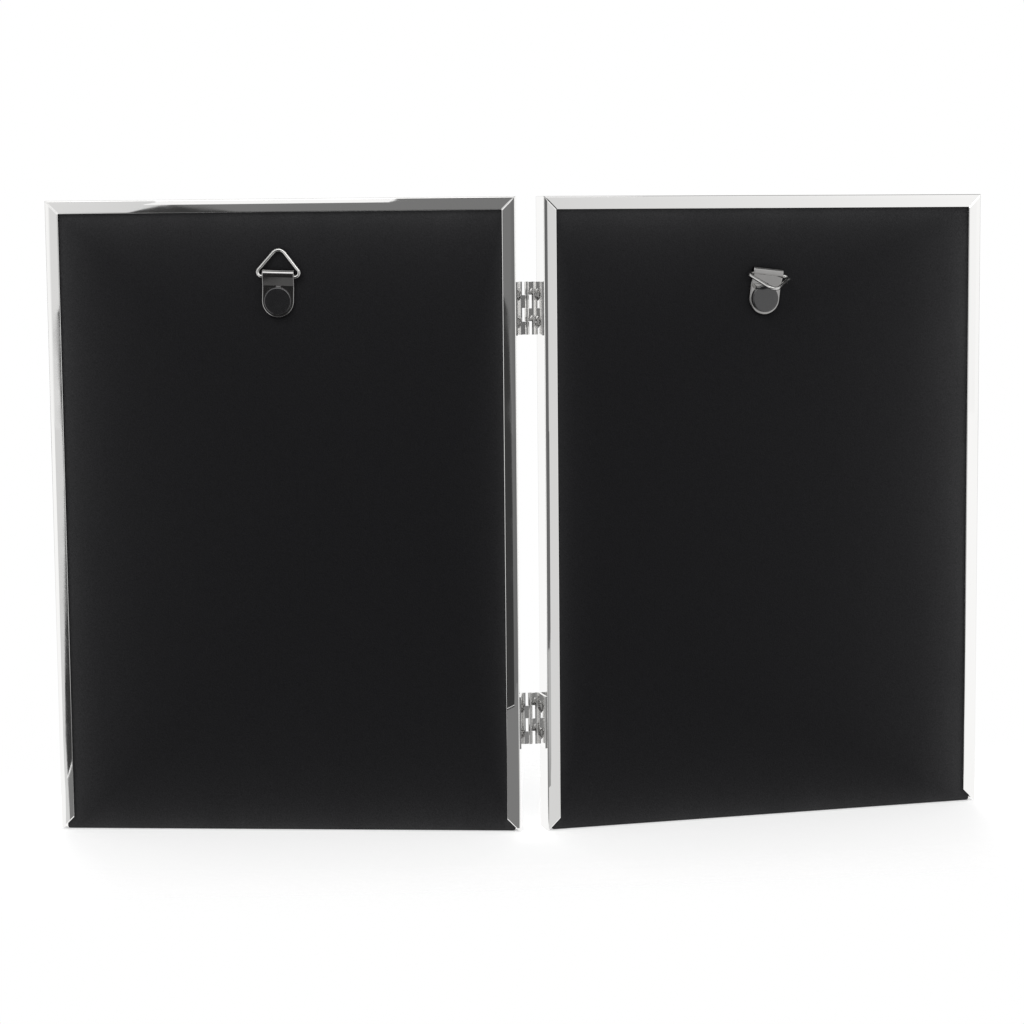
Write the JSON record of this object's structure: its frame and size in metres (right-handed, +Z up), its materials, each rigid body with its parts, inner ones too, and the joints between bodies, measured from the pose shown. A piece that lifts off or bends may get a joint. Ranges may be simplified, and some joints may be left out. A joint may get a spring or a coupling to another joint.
{
  "type": "hinged double photo frame",
  "caption": "Two portrait photo frames of mitred polished metal rails with velvet backs that slide out, joined by butt hinges and carrying turning hangers with wire rings.",
  "frame": {"origin": "on the table under the middle of the frame's bounding box, as it stands open", "axes": "+Z up, +Y towards the velvet backs (the pictures face -Y), +X towards the right panel as seen from the picture side"},
  "size_m": [0.2886, 0.0324, 0.1928],
  "materials": {
    "polished_metal": "polished",
    "hinge_metal": "plated",
    "rivet_metal": "black lacquered",
    "strap_metal": "dark nickel plated",
    "ring_metal": "nickel plated",
    "glass": "clear",
    "photo_paper": "satin print",
    "filler_card": "plain grey card",
    "hardboard": "pressed board",
    "velvet": "short pile velvet"
  },
  "bodies": {
    "left_frame": {"left_top_rail": "polished_metal", "left_bottom_rail": "polished_metal", "left_outer_stile": "polished_metal", "left_hinge_stile": "polished_metal", "left_glass_pane": "glass", "left_photo_print": "photo_paper", "left_filler_card": "filler_card", "upper_hinge_left_leaf": "hinge_metal", "lower_hinge_left_leaf": "hinge_metal", "left_hinge_screws": "hinge_metal", "upper_hinge_pin": "hinge_metal", "lower_hinge_pin": "hinge_metal"},
    "left_back": {"left_backing_board": "hardboard", "left_velvet_cover": "velvet", "left_hanger_rivet": "rivet_metal"},
    "left_strap": {"left_hanger_strap": "strap_metal"},
    "left_ring": {"left_hanger_ring": "ring_metal"},
    "right_frame": {"right_top_rail": "polished_metal", "right_bottom_rail": "polished_metal", "right_outer_stile": "polished_metal", "right_hinge_stile": "polished_metal", "right_glass_pane": "glass", "right_photo_print": "photo_paper", "right_filler_card": "filler_card", "upper_hinge_right_leaf": "hinge_metal", "lower_hinge_right_leaf": "hinge_metal", "right_hinge_screws": "hinge_metal"},
    "right_back": {"right_backing_board": "hardboard", "right_velvet_cover": "velvet", "right_hanger_rivet": "rivet_metal"},
    "right_strap": {"right_hanger_strap": "strap_metal"},
    "right_ring": {"right_hanger_ring": "ring_metal"}
  },
  "joints": [
    {"name": "fold", "type": "hinge", "parent": "left_frame", "child": "right_frame", "pos_m": [0, 0.00704, 0.0964], "axis": [0, 0, -1], "range_deg": [-39, 161]},
    {"name": "left_back_slide", "type": "slide", "parent": "left_frame", "child": "left_back", "axis": [0, 0, -1], "range_m": [0, 0.19]},
    {"name": "left_strap_turn", "type": "hinge", "parent": "left_back", "child": "left_strap", "pos_m": [-0.07329, 0.0036, 0.16135], "axis": [-0.165, 0.9863, 0], "continuous": true},
    {"name": "left_ring_swing", "type": "hinge", "parent": "left_strap", "child": "left_ring", "pos_m": [-0.07432, 0.0047, 0.1687], "axis": [-0.9799, -0.164, -0.1132], "range_deg": [-126.04, 3]},
    {"name": "right_back_slide", "type": "slide", "parent": "right_frame", "child": "right_back", "axis": [0, 0, -1], "range_m": [0, 0.19]},
    {"name": "right_strap_turn", "type": "hinge", "parent": "right_back", "child": "right_strap", "pos_m": [0.07477, 0.00335, 0.1622], "axis": [0.165, 0.9863, 0], "continuous": true},
    {"name": "right_ring_swing", "type": "hinge", "parent": "right_strap", "child": "right_ring", "pos_m": [0.07472, 0.00463, 0.16959], "axis": [-0.9857, 0.1649, -0.0349], "range_deg": [0, 129.04]}
  ]
}
